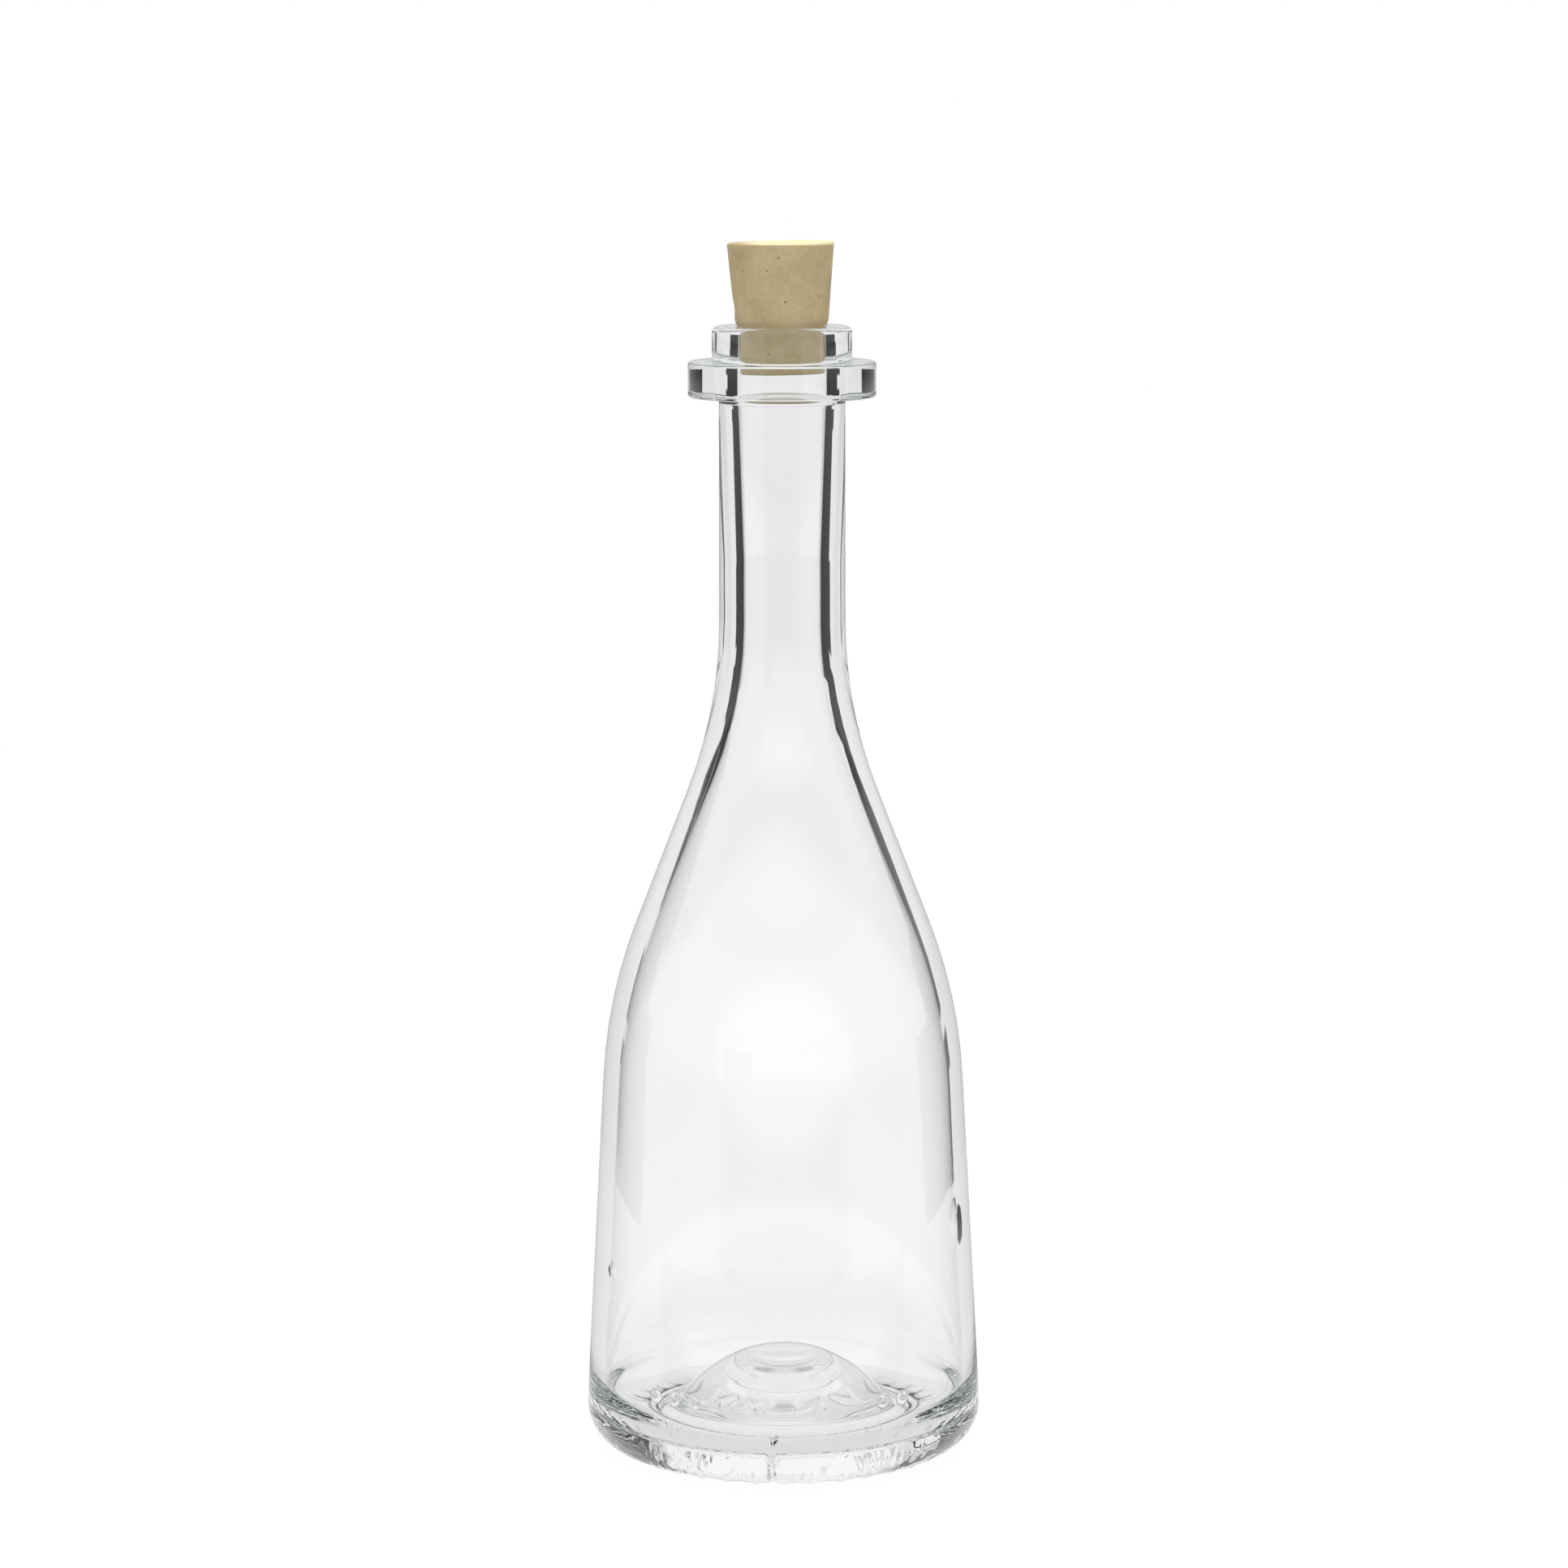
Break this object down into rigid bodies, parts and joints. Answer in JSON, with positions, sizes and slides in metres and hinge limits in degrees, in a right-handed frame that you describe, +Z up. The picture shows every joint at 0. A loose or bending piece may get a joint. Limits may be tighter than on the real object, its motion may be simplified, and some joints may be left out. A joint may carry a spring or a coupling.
{
  "type": "cork-stoppered glass bottle",
  "caption": "Clear glass bottle, slightly conical body, long neck, wide collar ring under the lip, tapered cork in its mouth.",
  "frame": {"origin": "middle of the circle the bottle stands on, at table level", "axes": "+Z up along the bottle's axis; -Y is the front, where the round mould marks are; +X to the right seen from the front"},
  "size_m": [0.0854, 0.0854, 0.2592],
  "materials": {
    "clear_glass": "clear, polished, faint grey-green tint in the thick base",
    "cork": "matte fine-grained cork, paler on the cut top"
  },
  "bodies": {
    "bottle": {"glass_bottle": "clear_glass"},
    "stopper": {"cork_stopper": "cork"}
  },
  "joints": [
    {"name": "cork_lift", "type": "slide", "parent": "bottle", "child": "stopper", "axis": [0, 0, 1], "range_m": [0, 0.04]}
  ]
}
